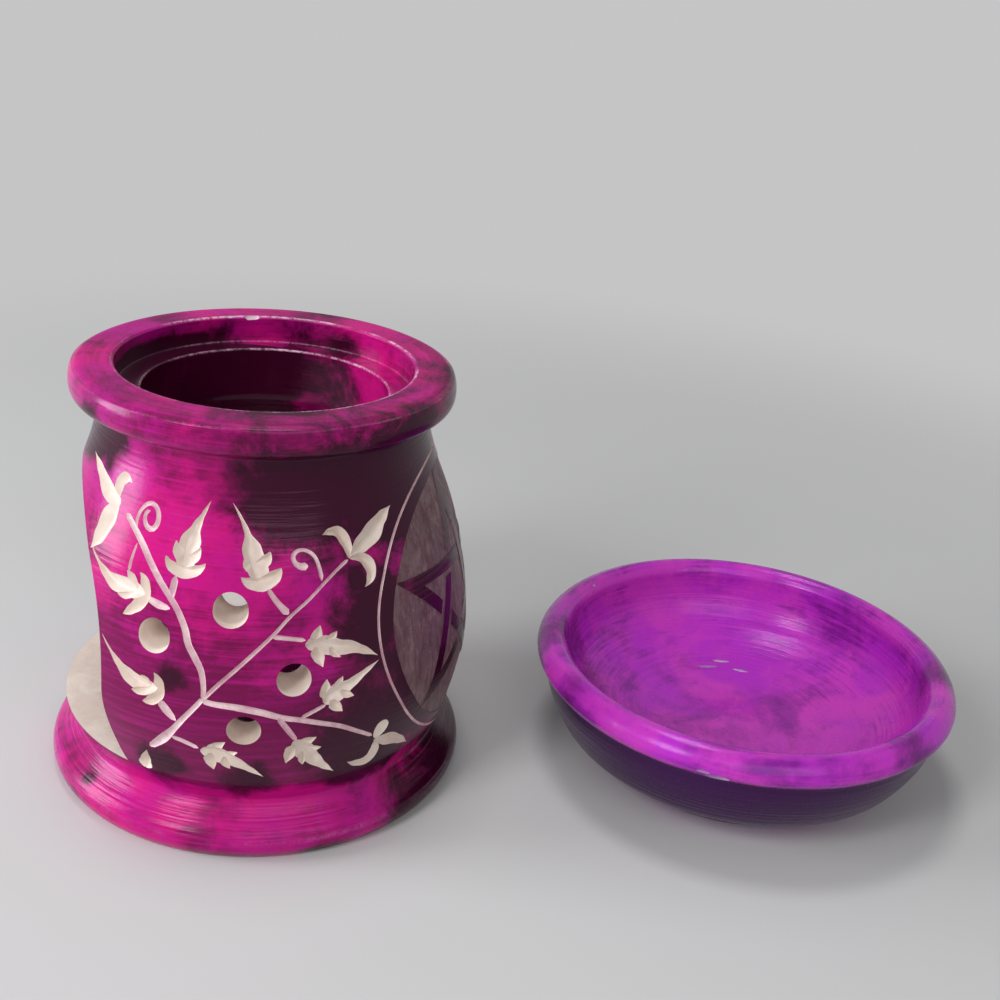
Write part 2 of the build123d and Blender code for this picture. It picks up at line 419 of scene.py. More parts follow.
star_turn = 75.0
star_h = 41.8
star_points = (96, 155, 221, 292, 380)
star_r = 22.3
disc_r = 25.6
ring_r = 28.1
ring_w = 0.55
ring_depth = 0.35
band_half_w = 1.25
band_gap = 1.0
scrape_depth = 0.18
scrape_waver = 0.08
scrape_waver_scale = 1.7
wrap_step = 2.4
disc_steps = 144
ring_steps = 120


def on_star_panel(across, rise, proud=0.0):
    height = star_h + rise
    r = barrel_r(height)
    turn = star_turn + degrees(asin(max(-0.999, min(0.999, across / r))))
    return on_barrel(turn, height) + barrel_out(turn, height) * proud


def star_chords():
    """Each chord as its two ends, its direction and its outward side, in drawing order round the star."""
    tips = [Vector((star_r * cos(radians(t)), star_r * sin(radians(t)), 0)) for t in star_points]
    chords = []
    for i in range(5):
        a = tips[(2 * i) % 5]
        b = tips[(2 * i + 2) % 5]
        along = (b - a).normalized()
        side = along.cross(up_axis)
        chords.append((a, b, along, side if side.dot(a) > 0 else -side))
    return chords


def crossing_share(chord, other):
    a, b, along, side = chord
    reach = along.dot(other[3])
    return (other[0] - a).dot(other[3]) / (reach * (b - a).length)


def passes_under(i, j, chords):
    """Over and under alternate along each chord, which meets two others inside the star."""
    shares = sorted((crossing_share(chords[i], chords[k]), k) for k in ((i + 2) % 5, (i + 3) % 5))
    return shares[0][1] == j


def dyed(spot, chords):
    out = [(spot - a).dot(side) for a, b, along, side in chords]
    for i, (a, b, along, side) in enumerate(chords):
        if abs(out[i]) > band_half_w or out[(i + 1) % 5] > band_half_w or out[(i + 4) % 5] > band_half_w:
            continue
        covered = False
        for j in ((i + 2) % 5, (i + 3) % 5):
            if band_half_w < abs(out[j]) < band_half_w + band_gap and passes_under(i, j, chords):
                covered = True
        if not covered:
            return True
    return False


def scraped_ground():
    chords = star_chords()
    bm = bmesh.new()
    bmesh.ops.create_circle(bm, cap_ends=True, segments=disc_steps, radius=disc_r)
    cuts = []
    for a, b, along, side in chords:
        cuts += [(a + side * away, side) for away in
                 (-band_half_w - band_gap, -band_half_w, band_half_w, band_half_w + band_gap)]
    lines = int(2 * disc_r / wrap_step)
    for i in range(1, lines):
        away = -disc_r + i * wrap_step
        cuts += [(Vector((away, 0, 0)), Vector((1, 0, 0))), (Vector((0, away, 0)), Vector((0, 1, 0)))]
    for spot, normal in cuts:
        geom = bm.verts[:] + bm.edges[:] + bm.faces[:]
        bmesh.ops.bisect_plane(bm, geom=geom, dist=0.0005, plane_co=spot, plane_no=normal)
    spare = [f for f in bm.faces if dyed(f.calc_center_median(), chords)]
    bmesh.ops.delete(bm, geom=spare, context="FACES")
    bmesh.ops.triangulate(bm, faces=bm.faces)
    floor = bm.faces[:]
    top = bmesh.ops.extrude_face_region(bm, geom=floor, use_keep_orig=True)["geom"]
    raised = {v for v in top if isinstance(v, bmesh.types.BMVert)}
    for v in bm.verts:
        proud = gouge_over if v in raised else -scrape_depth
        waver = scrape_waver * noise.noise(Vector((v.co.x, v.co.y, 0)) * scrape_waver_scale)
        v.co = on_star_panel(v.co.x + waver, v.co.y + waver, proud)
    return closed(bm)


def ring_groove():
    rings = []
    for i in range(ring_steps):
        turn = 2 * pi * i / ring_steps
        spot = (ring_r * cos(turn), ring_r * sin(turn))
        here = on_star_panel(*spot)
        out = (on_star_panel(*spot, 1.0) - here).normalized()
        ahead = on_star_panel(ring_r * cos(turn + 0.02), ring_r * sin(turn + 0.02)) - here
        across = out.cross(ahead).normalized()
        rings.append([here + across * x + out * y for x, y in gouge_section(ring_w / 2, ring_depth, 0)])
    return tube(rings)


# Doorway and vents

arch_steps = 60
vent_steps = 56


def doorway_cutter():
    bm = bmesh.new()
    arch = []
    for i in range(arch_steps + 1):
        turn = pi * i / arch_steps
        arch.append(Vector((0, door_half_w * cos(turn), door_spring_h + door_arch_rise * sin(turn))))
    sill = [Vector((0, -door_half_w, chamber_floor_h)), Vector((0, door_half_w, chamber_floor_h))]
    verts = [bm.verts.new(p) for p in arch + sill]
    face = bm.faces.new(verts)
    out = bmesh.ops.extrude_face_region(bm, geom=[face], use_keep_orig=True)["geom"]
    moved = [v for v in out if isinstance(v, bmesh.types.BMVert)]
    bmesh.ops.translate(bm, vec=(-belly_r - overrun, 0, 0), verts=moved)
    return closed(bm)


def vent_cutter(turn, height):
    aim = Matrix.Translation((0, 0, height)) @ Matrix.Rotation(radians(turn), 4, "Z")
    surface = barrel_r(height)
    ring = [2 * pi * i / vent_steps for i in range(vent_steps)]
    rings = []
    for reach, r in ((overrun, vent_r), (surface - 0.5, vent_r), (surface - 0.1, vent_r + 0.06),
                     (surface + 0.3, vent_r + vent_flare), (surface + overrun, vent_r + 2 * vent_flare)):
        rings.append([aim @ Vector((r * cos(a), -reach, r * sin(a))) for a in ring])
    return tube(rings)


# Chips in arrises: where each lies by turn, radius and height, and its size

chip_rough = 0.35
chip_grain = 1.6


def chip_cutter(turn, r, height, size, seed):
    bm = bmesh.new()
    bmesh.ops.create_icosphere(bm, subdivisions=2, radius=1)
    spot = round_at(r, turn, height)
    spin = Matrix.Rotation(radians(turn), 3, "Z")
    for v in bm.verts:
        rough = 1 + chip_rough * noise.noise(v.co * chip_grain + Vector((seed, 0, 0)))
        v.co = spot + spin @ (Vector((v.co.x * size[0], v.co.y * size[1], v.co.z * size[2])) * rough)
    return closed(bm)


rim_chips = (
    (-173, 28.2, 84.3, (1.7, 0.75, 0.75)),
    (-164, 28.3, 84.4, (0.8, 0.4, 0.4)),
    (88, 36.0, 83.6, (0.9, 0.5, 0.8)),
    (95, 36.2, 83.2, (0.7, 0.4, 0.6)),
    (-62, 35.8, 84.2, (0.5, 0.3, 0.35)),
    (38, 28.3, 84.5, (0.5, 0.3, 0.3)),
    (150, 42.0, 3.0, (1.0, 0.35, 0.8)),
)


# Body. Slots of its finishes, after the dyed stone in slot 0

bare_stone = 1
thin_cut = 2
scraped_stone = 3
chipped_stone = 4


def body_profile():
    foot = flat(foot_r, 0)
    flange_top = flat(flange_top_r, flange_top_h)
    hip = flat(hip_r, hip_h)
    neck = flat(neck_r, neck_h)
    rim_under = flat(rim_under_r, rim_under_h)
    rim_round = flat(rim_r - rim_round_in, rim_under_h + rim_round_up)
    crease = flat(crease_r, crease_h)
    flat_edge = flat(flat_edge_r, body_h)
    arris = flat(seat_arris_r, body_h)
    seat_top = flat(seat_r, body_h - seat_break)
    ledge_out = flat(seat_r, ledge_h)
    ledge_in = flat(mouth_r, ledge_h)
    throat_end = flat(mouth_r, throat_end_h)
    heel = flat(belly_r - wall_t - chamber_heel_in, chamber_floor_h)
    chamber = [throat_end, flat(shoulder_r - wall_t, shoulder_h), flat(belly_r - wall_t, belly_h), heel]
    # Each run with its step, and then how far each joint is eased
    runs = (
        ([flat(0, 0), flat(foot_r / 2, 0), foot], 3.0),
        ([foot, flat(flange_r, flange_bead_h), flange_top], 0.5),
        ([flange_top, flat(flange_slope_r, flange_slope_h), hip], 0.6),
        (barrel_run, None),
        ([neck, flat(rim_cove_r, rim_cove_h), rim_under], 0.4),
        ([rim_under, rim_round, flat(rim_r, rim_bulge_h), crease], 0.45),
        ([crease, flat_edge], 0.5),
        ([flat_edge, arris], 1.5),
        ([arris, seat_top], 0.2),
        ([seat_top, ledge_out], 1.0),
        ([ledge_out, ledge_in], 1.0),
        ([ledge_in, throat_end], 1.5),
        (chamber, 2.0),
        ([heel, flat(0, chamber_floor_h)], 3.0),
    )
    return turned_line(runs, (0.4, 0.5, 0.9, 0.25, 0.35, 0.3, 0.5, 0.15, 0.15, 0.35, 0.35, 1.2, 0.8))


def cut_from(body, cutters, slots):
    """Takes all cutters out of the body at once, so that strokes may overlap, and keeps the result."""
    box = bpy.data.collections.new("cutters")
    bpy.context.scene.collection.children.link(box)
    made = []
    for i, (bm, slot) in enumerate(cutters):
        obj = piece("cutter_%d" % i, bm)
        bpy.context.scene.collection.objects.unlink(obj)
        box.objects.link(obj)
        obj.data.materials.append(slots[slot])
        made.append(obj)
    for mat in slots:
        body.data.materials.append(mat)
    mod = body.modifiers.new("carving", "BOOLEAN")
    mod.operation = "DIFFERENCE"
    mod.operand_type = "COLLECTION"
    mod.collection = box
    mod.solver = "EXACT"
    mod.material_mode = "TRANSFER"
    mod.use_self = False
    graph = bpy.context.evaluated_depsgraph_get()
    mesh = bpy.data.meshes.new_from_object(body.evaluated_get(graph), depsgraph=graph)
    body.modifiers.clear()
    body.data = mesh
    for obj in made:
        bpy.data.objects.remove(obj)
    bpy.data.collections.remove(box)


def finish_shading(obj, sharp):
    for poly in obj.data.polygons:
        poly.use_smooth = True
    obj.data.set_sharp_from_angle(angle=radians(sharp))


def carved_body(slots):
    body = piece("carved_body", lathe(body_profile()))
    cutters = [(doorway_cutter(), bare_stone)]
    for panel in (0, 180):
        cutters += [(vent_cutter(turn + panel, height), bare_stone) for turn, height in vents]
        cutters += vine_cutters(panel)
    cutters += [(ring_groove(), thin_cut), (scraped_ground(), scraped_stone)]
    cutters += [(chip_cutter(*chip, seed), chipped_stone) for seed, chip in enumerate(rim_chips)]
    cut_from(body, cutters, slots)
    finish_shading(body, 32)
    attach(body, "body")
    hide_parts("burner_body")


# Oil bowl

bowl_chip_seed = 20
bowl_chip_slot = 1
bowl_turn_steps = 216
bowl_chips = (
    (-24.5, 43.9, 21.7, (2.5, 0.8, 0.9)),
    (-28, 44.3, 22.5, (1.5, 0.4, 0.4)),
    (-8, 43.9, 22.0, (0.8, 0.35, 0.5)),
    (84.5, 44.3, 24.0, (0.5, 0.4, 0.9)),
    (115, 42.6, 26.3, (0.9, 0.4, 0.35)),
    (-136.5, 39.2, 26.1, (0.5, 0.5, 0.4)),
    (178, 21.6, 8.3, (2.6, 0.35, 0.36)),
    (169, 23.6, 8.78, (2.2, 0.35, 0.36)),
    (157, 21.4, 8.28, (1.7, 0.35, 0.36)),
)


def bowl_profile():
    foot = flat(bowl_foot_r - bowl_foot_break, 0)
    foot_side = flat(bowl_foot_r, bowl_foot_break)
    foot_top = flat(bowl_foot_r, bowl_foot_h)
    flat_end = flat(bowl_flat_r, bowl_foot_h)
    neck = flat(bowl_neck_r, bowl_neck_h)
    crest = flat(bowl_crest_r, bowl_h)
    inner = flat(bowl_inner_r, bowl_inner_h)
    floor = flat(0, bowl_floor_h)
    outwards = flat(1, 0)
    lines = (
        smooth_run([flat(0, 0), foot], 4.0),
        smooth_run([foot, foot_side], 0.2),
        smooth_run([foot_side, foot_top], 1.5),
        smooth_run([foot_top, flat_end], 1.5),
        smooth_run([flat_end, flat(bowl_belly_r, bowl_belly_h), neck], 0.9, outwards, up_axis),
        smooth_run([neck, flat(bowl_lip_r, bowl_lip_h), crest], 0.45, flat(*bowl_lip_aim),
                   flat(*bowl_crest_aim)),
        smooth_run([crest, inner], 0.4, flat(*bowl_inner_aim), -up_axis),
        smooth_run([inner, flat(bowl_side_r, bowl_side_h), flat(bowl_floor_r, bowl_floor_edge_h), floor], 1.0,
                   -up_axis, -outwards),
    )
    return eased(lines, (0.1, 0.1, 0.5, 0.4, 0.35, 0.3, 0.3))


def turned_bowl(slots):
    bowl = piece("turned_bowl", lathe(bowl_profile(), bowl_turn_steps), bowl_place)
    cutters = []
    for seed, (turn, r, height, size) in enumerate(bowl_chips):
        bm = chip_cutter(turn, r, height, size, seed + bowl_chip_seed)
        bmesh.ops.translate(bm, vec=bowl_place, verts=bm.verts)
        cutters.append((bm, bowl_chip_slot))
    cut_from(bowl, cutters, slots)
    finish_shading(bowl, 40)
    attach(bowl, "bowl")
    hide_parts("oil_bowl")


# Tea light

cup_r = 19.0
cup_h = 15.5
cup_t = 0.3
cup_flutes = 36
cup_flute_depth = 0.06
cup_rim_r = 19.6
wax_r = 18.55
wax_top_h = 29.2
wax_floor_h = 16.2
wick_r = 0.8
wick_top_h = 35.2
wick_foot_h = 15.9
wick_strands = 3
wick_lay = 3.2
wick_stations = 90
strand_sides = 10
cup_turn_steps = 216
wax_turn_steps = 144


def foil_cup(mat):
    low = chamber_floor_h
    top = low + cup_h
    heel = flat(cup_r - 0.9, low)
    wall_foot = flat(cup_r, low + 1.0)
    curl = flat(cup_r, top - 0.9)
    lip = flat(cup_r - cup_t, top - 0.35)
    inner_foot = flat(cup_r - cup_t, low + 1.1)
    inner_heel = flat(cup_r - 1.1, low + cup_t)
    runs = (
        ([flat(0, low), heel], 2.0),
        ([heel, flat(cup_r - 0.25, low + 0.3), wall_foot], 0.25),
        ([wall_foot, curl], 0.8),
        ([curl, flat(cup_rim_r, top - 0.5), flat(cup_rim_r - 0.35, top), lip], 0.12),
        ([lip, inner_foot], 0.8),
        ([inner_foot, inner_heel], 0.3),
        ([inner_heel, flat(0, low + cup_t)], 3.0),
    )
    bm = lathe(turned_line(runs, (0.05,) * 6), cup_turn_steps, 0.0005)
    for v in bm.verts:
        turn = atan2(v.co.y, v.co.x)
        reach = Vector((v.co.x, v.co.y, 0)).length
        if reach > cup_r - 0.6 and v.co.z < top - 1.0:
            fade = min(1, (v.co.z - low) / 2) * min(1, (top - 1 - v.co.z) / 3)
            push = -cup_flute_depth * fade * (1 + cos(cup_flutes * turn)) / 2
            v.co += Vector((v.co.x, v.co.y, 0)).normalized() * push
    cup = piece("foil_cup", bm)
    cup.data.materials.append(mat)
    finish_shading(cup, 40)
    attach(cup, "tealight")
    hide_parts("tealight_cup")


def poured_wax(mat):
    bore = wick_r + 0.1
    foot = flat(wax_r, wax_floor_h)
    edge = flat(wax_r, wax_top_h)
    bore_top = flat(bore + 0.05, wax_top_h)
    bore_foot = flat(bore, wax_floor_h)
    runs = (
        ([bore_foot, foot], 2.0),
        ([foot, edge], 2.0),
        ([edge, flat(wax_r - 0.5, wax_top_h - 0.3), flat(wax_r - 3, wax_top_h - 0.45),
          flat(5, wax_top_h - 0.4), flat(2, wax_top_h - 0.25), bore_top], 0.5),
        ([bore_top, bore_foot], 2.0),
    )
    line = turned_line(runs, (0.1, 0.08, 0.02))
    bm = lathe(line + [line[0]], wax_turn_steps)
    wax = piece("poured_wax", bm)
    wax.data.materials.append(mat)
    finish_shading(wax, 40)
    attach(wax, "tealight")
    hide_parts("tealight_wax")


def braided_wick(mat):
    strand_r = wick_r * 0.52
    ring = [2 * pi * k / strand_sides for k in range(strand_sides)]
    bm = bmesh.new()
    for strand in range(wick_strands):
        rings = []
        for i in range(wick_stations + 1):
            height = wick_foot_h + (wick_top_h - wick_foot_h) * i / wick_stations
            turn = 2 * pi * (strand / wick_strands + height / wick_lay)
            close = 1 - 0.5 * max(0, (height - wick_top_h + 1.2) / 1.2)
            middle = Vector((cos(turn), sin(turn), 0)) * (wick_r - strand_r) * close
            middle.z = height
            rings.append([middle + Vector((cos(a), sin(a), 0)) * strand_r * close for a in ring])
        tube_through(bm, rings)
    wick = piece("braided_wick", closed(bm))
    wick.data.materials.append(mat)
    finish_shading(wick, 50)
    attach(wick, "tealight")
    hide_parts("tealight_wick")


# Node workshop: short ways to add nodes, and the shared finish groups


def plug(socket, value):
    """Links a socket to another node's output, or sets its number or colour."""
    if isinstance(value, bpy.types.NodeSocket):
        socket.id_data.links.new(value, socket)
    elif socket.type == "RGBA" and len(value) == 3:
        socket.default_value = (*value, 1)
    else:
        socket.default_value = value


def node(kind, settings=None, tree=None, **sockets):
    """A node with its settings and inputs, in the given tree or in the one that its inputs come from."""
    if tree is None:
        tree = next(value.id_data for value in sockets.values() if isinstance(value, bpy.types.NodeSocket))
    made = tree.nodes.new(kind)
    for key, value in (settings or {}).items():
        setattr(made, key, value)
    for key, value in sockets.items():
        numbered = key[0] == "i" and key[1:].isdigit()
        plug(made.inputs[int(key[1:]) if numbered else key.replace("_", " ")], value)
    return made


def use_group(group, **sockets):
    return node("ShaderNodeGroup", {"node_tree": group}, **sockets)


def maths(what, a, b=0.0, clamp=False):
    return node("ShaderNodeMath", {"operation": what, "use_clamp": clamp}, i0=a, i1=b).outputs[0]


def plus(total, *others):
    for value in others:
        total = maths("ADD", total, value)
    return total


def minus(a, b, clamp=False):
    return maths("SUBTRACT", a, b, clamp)


def times(a, b):
    return maths("MULTIPLY", a, b)


def larger(a, b):
    return maths("MAXIMUM", a, b)


def vector_maths(what, a, **others):
    made = node("ShaderNodeVectorMath", {"operation": what}, i0=a, **others)
    return made.outputs["Value" if what in ("LENGTH", "DISTANCE", "DOT_PRODUCT") else "Vector"]


def between(value, low, high, to_low=0.0, to_high=1.0):
    return node("ShaderNodeMapRange", {"interpolation_type": "SMOOTHSTEP"}, Value=value,
                From_Min=low, From_Max=high, To_Min=to_low, To_Max=to_high).outputs[0]


def blend(share, a, b):
    return node("ShaderNodeMix", {"data_type": "RGBA"}, i0=share, i6=a, i7=b).outputs[2]


def noise_of(point, scale, detail=3.0, rough=0.5, warp=0.0):
    return node("ShaderNodeTexNoise", None, Vector=point, Scale=scale, Detail=detail,
                Roughness=rough, Distortion=warp).outputs[0]


def mapped(point, **settings):
    return node("ShaderNodeMapping", {"vector_type": "POINT"}, Vector=point, **settings).outputs[0]


def combined(**parts):
    return node("ShaderNodeCombineXYZ", None, **parts).outputs[0]


def from_axis(point):
    """The point's three coordinates, its level part and its reach from the upright axis."""
    axes = node("ShaderNodeSeparateXYZ", None, Vector=point).outputs
    plan = combined(X=axes[0], Y=axes[1])
    return axes, plan, vector_maths("LENGTH", plan)


def new_group(name, inputs, outputs):
    tree = bpy.data.node_groups.new(name, "ShaderNodeTree")
    for label, kind, value in inputs:
        socket = tree.interface.new_socket(label, in_out="INPUT", socket_type=kind)
        if value is not None:
            socket.default_value = value
    for label, kind in outputs:
        tree.interface.new_socket(label, in_out="OUTPUT", socket_type=kind)
    return tree, tree.nodes.new("NodeGroupInput").outputs, tree.nodes.new("NodeGroupOutput").inputs


colour = "NodeSocketColor"
number = "NodeSocketFloat"
vector = "NodeSocketVector"

# Tool marks: how far each goes round, how fine it is across, its detail and its roughness
tool_marks = (("Lines", 2.6, 1400.0, 2.0, 0.6), ("Ridges", 1.2, 950.0, 1.0, 0.5),
              ("Brush", 3.4, 300.0, 5.0, 0.65))


def turning_lines():
    """Lines that the turning tool leaves, told by each spot's reach and its height times Rise."""
    tree, given, out = new_group(
        "turning lines", (("Point", vector, None), ("Twist", number, 0.0), ("Rise", number, 1.0)),
        (("Lines", number), ("Ridges", number), ("Brush", number)))
    axes, plan, reach = from_axis(given["Point"])
    level = vector_maths("NORMALIZE", plan)
    spin = times(reach, given["Twist"])
    swirl = node("ShaderNodeVectorRotate", {"rotation_type": "Z_AXIS"}, Vector=level,
                 Angle=spin).outputs[0]
    along = plus(reach, times(axes[2], given["Rise"]))
    clear = between(reach, 0.01, 0.034, 0.1, 1.0)
    for label, about, across, detail, rough in tool_marks:
        wide = vector_maths("SCALE", swirl, Scale=about)
        spot = vector_maths("ADD", wide, i1=combined(Z=times(along, across)))
        swing = minus(noise_of(spot, 1.0, detail, rough, 0.3), 0.5)
        plug(out[label], plus(times(swing, clear), 0.5))
    return tree


def clouded_dye():
    """Dye that has taken unevenly: two hues, deeper clouds, dark spots of dye and of painted shade, and the
    brush that put it on.
    """
    tree, given, out = new_group(
        "clouded dye",
        (("Point", vector, None), ("Bright", colour, None), ("Tint", colour, None), ("Deep", colour, None),
         ("Dark", colour, None), ("Brush", number, 0.5), ("Brush Share", number, 0.25),
         ("Stain", number, 0.0), ("Cloud Scale", number, 38.0), ("Patches", number, 1.0),
         ("Lighten", number, 0.0)),
        (("Color", colour), ("Dark", number)))
    point = given["Point"]
    far_point = vector_maths("ADD", point, i1=(0.31, 0.17, 0.05))
    cloud = noise_of(point, given["Cloud Scale"], 6.0, 0.62, 0.4)
    drift = noise_of(far_point, given["Cloud Scale"], 5.0, 0.6, 0.6)
    mottle = noise_of(point, 190.0, 5.0, 0.65, 0.4)
    grain = noise_of(point, 1100.0, 3.0, 0.6)
    brush = minus(given["Brush"], 0.5)
    mixed = plus(times(cloud, 0.5), times(mottle, 0.25), times(brush, given["Brush Share"]),
                 plus(given["Lighten"], 0.125))
    hue = blend(between(drift, 0.38, 0.64), given["Bright"], given["Tint"])
    body = blend(between(mixed, 0.4, 0.58), given["Deep"], hue)
    level = plus(times(minus(drift, 0.5), 1.3), times(minus(mottle, 0.5), 0.7), times(brush, 0.5))
    level = times(level, given["Patches"])
    # Dark dye patches, joined by the dark spots and sides that hold painted shade.
    dark = between(plus(level, given["Stain"]), 0.1, 0.8)
    specks = times(between(grain, 0.58, 0.72, 0.0, 0.5), between(drift, 0.4, 0.62))
    dark = larger(dark, times(specks, given["Patches"]))
    plug(out["Color"], blend(dark, body, given["Dark"]))
    plug(out["Dark"], dark)
    return tree


def stain_and_shade_spot():
    """A soft dark spot about one place, with a broken edge, used both for dark dye spots and for painted
    shade.
    """
    tree, given, out = new_group("stain spot", (("Point", vector, None), ("Middle", vector, None),
                                                ("Reach", number, 0.02)), (("Mask", number),))
    away = vector_maths("DISTANCE", given["Point"], i1=given["Middle"])
    broken = minus(noise_of(given["Point"], 75.0, 9.0, 0.72, 0.5), 0.5)
    edge = plus(maths("DIVIDE", away, given["Reach"]), times(broken, 1.9))
    plug(out["Mask"], between(edge, 0.2, 1.2, 1.0, 0.0))
    return tree


def shaded_side():
    """Painted shade on one side of a turned wall, told by shares of reach, height and X, and up to a height.
    """
    tree, given, out = new_group(
        "shaded side", (("Point", vector, None), ("Shares", vector, None), ("Limit", number, 0.03),
                        ("Top", number, 0.06), ("Drift", number, 0.01)), (("Mask", number),))
    axes, plan, reach = from_axis(given["Point"])
    place = combined(X=reach, Y=axes[2], Z=axes[0])
    measure = vector_maths("DOT_PRODUCT", place, i1=given["Shares"])
    ragged = minus(noise_of(given["Point"], 90.0, 7.0, 0.7, 0.5), 0.5)
    within = between(minus(given["Limit"], measure), 0.0, 0.0014)
    room = plus(minus(given["Top"], axes[2]), times(ragged, given["Drift"]))
    below = between(room, 0.0, 0.003)
    broken = between(ragged, -0.3, 0.1, 0.75, 1.0)
    plug(out["Mask"], times(times(within, below), broken))
    return tree


def worn_arris():
    """Wear along an arris that runs round the axis, given by its radius and height."""
    tree, given, out = new_group("worn arris", (("Point", vector, None), ("Radius", number, 0.03),
                                                ("Height", number, 0.0), ("Reach", number, 0.0005),
                                                ("Wear", number, 0.5)), (("Mask", number),))
    axes, plan, reach = from_axis(given["Point"])
    off = combined(X=minus(reach, given["Radius"]), Y=minus(axes[2], given["Height"]))
    away = vector_maths("LENGTH", off)
    near = minus(1.0, maths("DIVIDE", away, given["Reach"]), True)
    patchy = between(noise_of(given["Point"], 60.0, 5.0, 0.7), 0.4, 0.66)
    fine = between(noise_of(given["Point"], 1500.0, 2.0, 0.7), 0.3, 0.6)
    mask = times(times(near, patchy), times(fine, given["Wear"]))
    plug(out["Mask"], maths("MULTIPLY", mask, 2.0, True))
    return tree


def new_material(name, middle=Vector()):
    """A material, its shader, and each spot on the object counted from the given middle."""
    mat = bpy.data.materials.new(name)
    mat.use_nodes = True
    spot = node("ShaderNodeTexCoord", None, mat.node_tree).outputs["Object"]
    return mat, mat.node_tree.nodes["Principled BSDF"], mapped(spot, Location=-middle * mm)


def feed(shader, **sockets):
    """Links or sets the shader's own sockets."""
    for key, value in sockets.items():
        plug(shader.inputs[key.replace("_", " ")], value)


def bumped(height, strength, distance):
    return node("ShaderNodeBump", None, Height=height, Strength=strength,
                Distance=distance * mm).outputs[0]


# Heights in metres over which a dyed finish changes
under_hip = (0.009, 0.013)
over_hip = (0.011, 0.017)
up_barrel = (0.022, 0.064)
up_neck = (0.066, 0.077)
rim_top = (0.0838, 0.0843)


def dyed_material(name, groups, middle, hues, stone, arrises, stains_and_shade, make):
    """Dyed and waxed soapstone: clouded dye, tool lines, dark dye spots and painted shade in their places,
    tone by height that paints light and shade, and worn arrises.
    """
    mat, shader, point = new_material(name, middle)
    bright, tint, deep, dark = hues
    rise = node("ShaderNodeSeparateXYZ", None, Vector=point).outputs[2]
    lines = use_group(groups["lines"], Point=point, Twist=make["twist"], Rise=make["rise"]).outputs
    # Painted shade on one side: inside the mouth and chamber of the body, darkest on the left, and under the
    # bowl's belly.
    shares, limit, top, drift = make["painted_shade_side"]
    stain_and_shade = use_group(groups["side"], Point=point, Shares=shares, Limit=limit * mm, Top=top * mm,
                        Drift=drift * mm).outputs[0]
    # Dark dye spots and painted shade spots alike, each a dark spot with a broken edge.
    for spot, reach in stains_and_shade:
        mask = use_group(groups["stain"], Point=point, Middle=spot * mm, Reach=reach * mm).outputs[0]
        stain_and_shade = larger(stain_and_shade, times(mask, make["stain_and_shade_depth"]))
    brush = plus(times(lines["Lines"], make["fine"]), times(lines["Brush"], 1 - make["fine"]))
    # Tone by height, painted light and shade: the flange, facing up, is lighter, and the lower barrel, whose
    # wall faces down, is darker, growing lighter up the barrel. For the bowl all four are the same, an even
    # shift.
    low, waist, high, rim = make["lighten"]
    lighten = larger(between(rise, *over_hip, low, waist), between(rise, *up_barrel, waist, high))
    lighten = maths("MINIMUM", lighten, between(rise, *up_neck, max(low, high), rim))
    dye = use_group(groups["dye"], Point=point, Brush=brush, Bright=bright, Tint=tint, Deep=deep,
                    Dark=dark, Stain=stain_and_shade, Cloud_Scale=make["cloud"], Brush_Share=make["brush"],
                    Lighten=lighten, Patches=between(rise, *over_hip, *make["patches"])).outputs
    wear = 0.0
    for r, height, reach, much in arrises:
        mask = use_group(groups["arris"], Point=point, Radius=r * mm, Height=height * mm,
                         Reach=reach * mm, Wear=much).outputs[0]
        wear = larger(wear, mask)
    streaks = between(lines["Lines"], 0.42, 0.72, 0.0, make["streaks"])
    lit = blend(times(streaks, minus(1.0, dye["Dark"], True)), dye["Color"], tint)
    pits = noise_of(point, 1600.0, 3.0, 0.6)
    rough = plus(between(pits, 0.3, 0.7, make["gloss"], make["gloss"] + 0.12), times(wear, 0.25),
                 between(rise, *rim_top, 0.0, 0.35))
    height = plus(times(lines["Lines"], make["marks"]), times(lines["Ridges"], make["ridges"]))
    height = times(height, between(rise, *under_hip, 1.0, make["upper"]))
    height = minus(plus(height, times(pits, 0.12)), times(wear, 0.4))
    feed(shader, Base_Color=blend(wear, lit, stone), Roughness=rough,
         Normal=bumped(height, 0.55, 0.25), Specular_IOR_Level=make["shine"],
         Specular_Tint=make["shine_tint"])
    return mat


def stone_material(name, pale, shade, stain, stain_amount, roughness, grain_depth):
    """Undyed soapstone where a tool has cut through the dye."""
    mat, shader, point = new_material(name)
    veins = noise_of(point, 110.0, 5.0, 0.6, 0.6)
    grain = noise_of(point, 2200.0, 3.0, 0.65)
    base = blend(between(veins, 0.38, 0.66), shade, pale)
    base = blend(between(grain, 0.55, 0.75, 0.0, 0.35), base, shade)
    bleed = times(between(noise_of(point, 520.0, 4.0, 0.7), 0.4, 0.7), stain_amount)
    feed(shader, Base_Color=blend(bleed, base, stain),
         Roughness=between(grain, 0.3, 0.7, roughness - 0.1, roughness + 0.1),
         Normal=bumped(grain, 0.6, grain_depth))
    return mat


